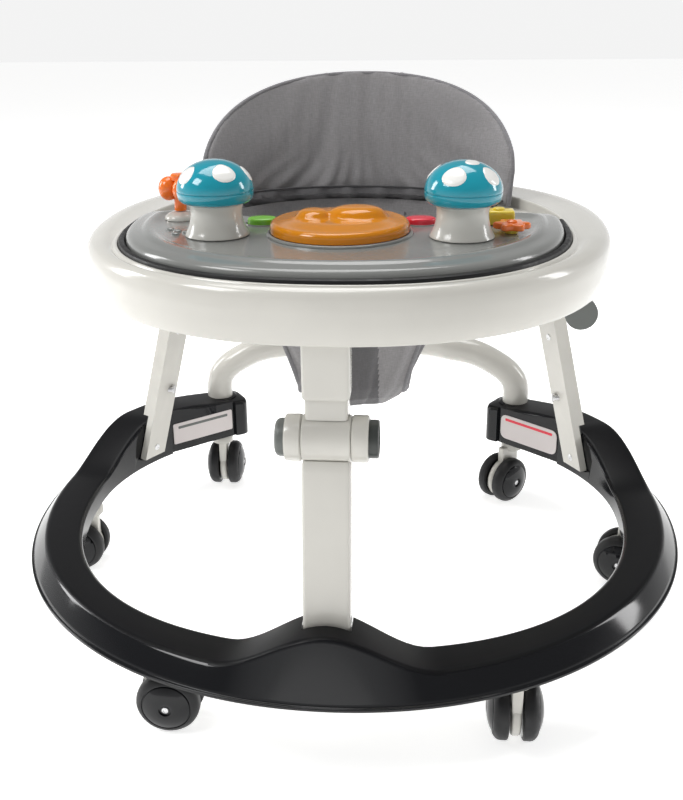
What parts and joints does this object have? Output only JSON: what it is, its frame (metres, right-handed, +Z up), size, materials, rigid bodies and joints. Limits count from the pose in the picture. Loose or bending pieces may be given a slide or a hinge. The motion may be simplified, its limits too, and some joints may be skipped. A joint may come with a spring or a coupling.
{
  "type": "baby walker",
  "caption": "Folding baby walker: horseshoe base on twin-wheel casters, knee-jointed front column, side legs, oval tray with spinning toys, and a grey fabric seat.",
  "frame": {"origin": "on the floor, under the middle of the whole object", "axes": "+Z up, -Y towards the front of the tray, where the child faces, +X towards the child's left hand, which is right in a front view"},
  "size_m": [0.6, 0.5468, 0.466],
  "materials": {
    "white_plastic": "glossy",
    "black_plastic": "glossy",
    "tyre_black": "satin",
    "seal_rubber": "matte",
    "grey_plastic": "glossy",
    "dark_grey_plastic": "satin",
    "teal_plastic": "glossy",
    "orange_plastic": "glossy",
    "amber_plastic": "glossy, see-through",
    "green_plastic": "glossy",
    "red_plastic": "glossy",
    "yellow_plastic": "glossy",
    "label_film": "matte",
    "seat_fabric": "woven",
    "steel": "satin"
  },
  "bodies": {
    "base": {"base_ring": "black_plastic", "rear_tube": "white_plastic", "label_left": "label_film", "label_right": "label_film", "column_pin": "steel", "leg_post_left": "dark_grey_plastic", "leg_post_right": "dark_grey_plastic", "leg_pin_left": "steel", "leg_pin_right": "steel"},
    "lower_column": {"lower_column": "white_plastic", "knee_spring_left": "steel", "knee_spring_right": "steel"},
    "side_leg_left": {"side_leg_left": "white_plastic"},
    "side_leg_right": {"side_leg_right": "white_plastic"},
    "tray": {"upper_column": "white_plastic", "knee_pin": "steel", "leg_bracket_left": "white_plastic", "leg_bracket_right": "white_plastic", "bracket_pin_left": "steel", "bracket_pin_right": "steel", "tray_ring": "white_plastic", "tray_gasket": "seal_rubber", "toy_tray": "grey_plastic", "lamp_dome": "amber_plastic", "spinner_base": "grey_plastic", "flower_hub": "yellow_plastic", "toy_block": "yellow_plastic", "mushroom_stem_left": "white_plastic", "mushroom_stem_right": "white_plastic", "tray_bumper": "dark_grey_plastic", "seat_backrest": "seat_fabric", "seat_sling": "seat_fabric"},
    "knee_button_left": {"knee_button_left": "dark_grey_plastic", "lock_gear_left": "steel"},
    "knee_button_right": {"knee_button_right": "dark_grey_plastic", "lock_gear_right": "steel"},
    "mushroom_cap_left": {"mushroom_cap_left": "teal_plastic"},
    "mushroom_cap_right": {"mushroom_cap_right": "teal_plastic"},
    "spinner": {"spinner": "orange_plastic"},
    "flower_gear": {"flower_gear": "orange_plastic"},
    "button_green": {"button_green": "green_plastic"},
    "button_red": {"button_red": "red_plastic"},
    "fork_front_left": {"caster_fork_front_left": "white_plastic"},
    "wheels_front_left": {"caster_wheels_front_left": "tyre_black"},
    "fork_front_right": {"caster_fork_front_right": "white_plastic"},
    "wheels_front_right": {"caster_wheels_front_right": "tyre_black"},
    "fork_side_left": {"caster_fork_side_left": "white_plastic"},
    "wheels_side_left": {"caster_wheels_side_left": "tyre_black"},
    "fork_side_right": {"caster_fork_side_right": "white_plastic"},
    "wheels_side_right": {"caster_wheels_side_right": "tyre_black"},
    "fork_rear_left": {"caster_fork_rear_left": "white_plastic"},
    "wheels_rear_left": {"caster_wheels_rear_left": "tyre_black"},
    "fork_rear_right": {"caster_fork_rear_right": "white_plastic"},
    "wheels_rear_right": {"caster_wheels_rear_right": "tyre_black"}
  },
  "joints": [
    {"name": "column_fold", "type": "hinge", "parent": "base", "child": "lower_column", "pos_m": [0, -0.2285, 0.106], "axis": [-1, 0, 0], "range_deg": [0, 60], "deforming": ["seat_sling"]},
    {"name": "knee_fold", "type": "hinge", "parent": "lower_column", "child": "tray", "pos_m": [0, -0.2115, 0.25], "axis": [-1, 0, 0], "range_deg": [-60, 0], "deforming": ["seat_sling"]},
    {"name": "leg_fold_left", "type": "hinge", "parent": "base", "child": "side_leg_left", "pos_m": [-0.203, 0.136, 0.15], "axis": [-1, 0, 0], "range_deg": [0, 60], "deforming": ["seat_sling"]},
    {"name": "leg_fold_right", "type": "hinge", "parent": "base", "child": "side_leg_right", "pos_m": [0.203, 0.136, 0.15], "axis": [-1, 0, 0], "range_deg": [0, 60], "deforming": ["seat_sling"]},
    {"name": "knee_button_left_press", "type": "slide", "parent": "tray", "child": "knee_button_left", "axis": [1, 0, 0], "range_m": [0, 0.004], "stiffness_N_per_m": 900, "deforming": ["knee_spring_left"]},
    {"name": "knee_button_right_press", "type": "slide", "parent": "tray", "child": "knee_button_right", "axis": [-1, 0, 0], "range_m": [0, 0.004], "stiffness_N_per_m": 900, "deforming": ["knee_spring_right"]},
    {"name": "button_green_press", "type": "slide", "parent": "tray", "child": "button_green", "axis": [0, 0, -1], "range_m": [0, 0.003], "stiffness_N_per_m": 400},
    {"name": "button_red_press", "type": "slide", "parent": "tray", "child": "button_red", "axis": [0, 0, -1], "range_m": [0, 0.003], "stiffness_N_per_m": 400},
    {"name": "mushroom_cap_left_turn", "type": "hinge", "parent": "tray", "child": "mushroom_cap_left", "pos_m": [-0.091, -0.1065, 0.4], "axis": [0, 0, 1], "continuous": true},
    {"name": "mushroom_cap_right_turn", "type": "hinge", "parent": "tray", "child": "mushroom_cap_right", "pos_m": [0.091, -0.1065, 0.4], "axis": [0, 0, 1], "continuous": true},
    {"name": "spinner_turn", "type": "hinge", "parent": "tray", "child": "spinner", "pos_m": [-0.132, -0.0485, 0.398], "axis": [0, 0, 1], "continuous": true},
    {"name": "flower_gear_turn", "type": "hinge", "parent": "tray", "child": "flower_gear", "pos_m": [0.128, -0.0925, 0.374], "axis": [0, 0, 1], "continuous": true},
    {"name": "front_left_swivel", "type": "hinge", "parent": "base", "child": "fork_front_left", "pos_m": [-0.14, -0.2045, 0.066], "axis": [0, 0, 1], "continuous": true},
    {"name": "front_left_roll", "type": "hinge", "parent": "fork_front_left", "child": "wheels_front_left", "pos_m": [-0.127, -0.2045, 0.025], "axis": [0, -1, 0], "continuous": true},
    {"name": "front_right_swivel", "type": "hinge", "parent": "base", "child": "fork_front_right", "pos_m": [0.14, -0.2145, 0.066], "axis": [0, 0, 1], "continuous": true},
    {"name": "front_right_roll", "type": "hinge", "parent": "fork_front_right", "child": "wheels_front_right", "pos_m": [0.14, -0.2015, 0.025], "axis": [1, 0, 0], "continuous": true},
    {"name": "side_left_swivel", "type": "hinge", "parent": "base", "child": "fork_side_left", "pos_m": [-0.262, 0.0315, 0.066], "axis": [0, 0, 1], "continuous": true},
    {"name": "side_left_roll", "type": "hinge", "parent": "fork_side_left", "child": "wheels_side_left", "pos_m": [-0.275, 0.0315, 0.025], "axis": [0, 1, 0], "continuous": true},
    {"name": "side_right_swivel", "type": "hinge", "parent": "base", "child": "fork_side_right", "pos_m": [0.272, 0.0315, 0.066], "axis": [0, 0, 1], "continuous": true},
    {"name": "side_right_roll", "type": "hinge", "parent": "fork_side_right", "child": "wheels_side_right", "pos_m": [0.25978, 0.03595, 0.025], "axis": [0.342, 0.9397, 0], "continuous": true},
    {"name": "rear_left_swivel", "type": "hinge", "parent": "base", "child": "fork_rear_left", "pos_m": [-0.165, 0.2165, 0.066], "axis": [0, 0, 1], "continuous": true},
    {"name": "rear_left_roll", "type": "hinge", "parent": "fork_rear_left", "child": "wheels_rear_left", "pos_m": [-0.165, 0.2295, 0.025], "axis": [1, 0, 0], "continuous": true},
    {"name": "rear_right_swivel", "type": "hinge", "parent": "base", "child": "fork_rear_right", "pos_m": [0.165, 0.2165, 0.066], "axis": [0, 0, 1], "continuous": true},
    {"name": "rear_right_roll", "type": "hinge", "parent": "fork_rear_right", "child": "wheels_rear_right", "pos_m": [0.15581, 0.20731, 0.025], "axis": [-0.7071, 0.7071, 0], "continuous": true}
  ],
  "couplings": [
    {"joint": "knee_fold", "follows": "column_fold", "ratio": -1},
    {"joint": "leg_fold_left", "follows": "column_fold", "ratio": 1},
    {"joint": "leg_fold_right", "follows": "column_fold", "ratio": 1}
  ]
}
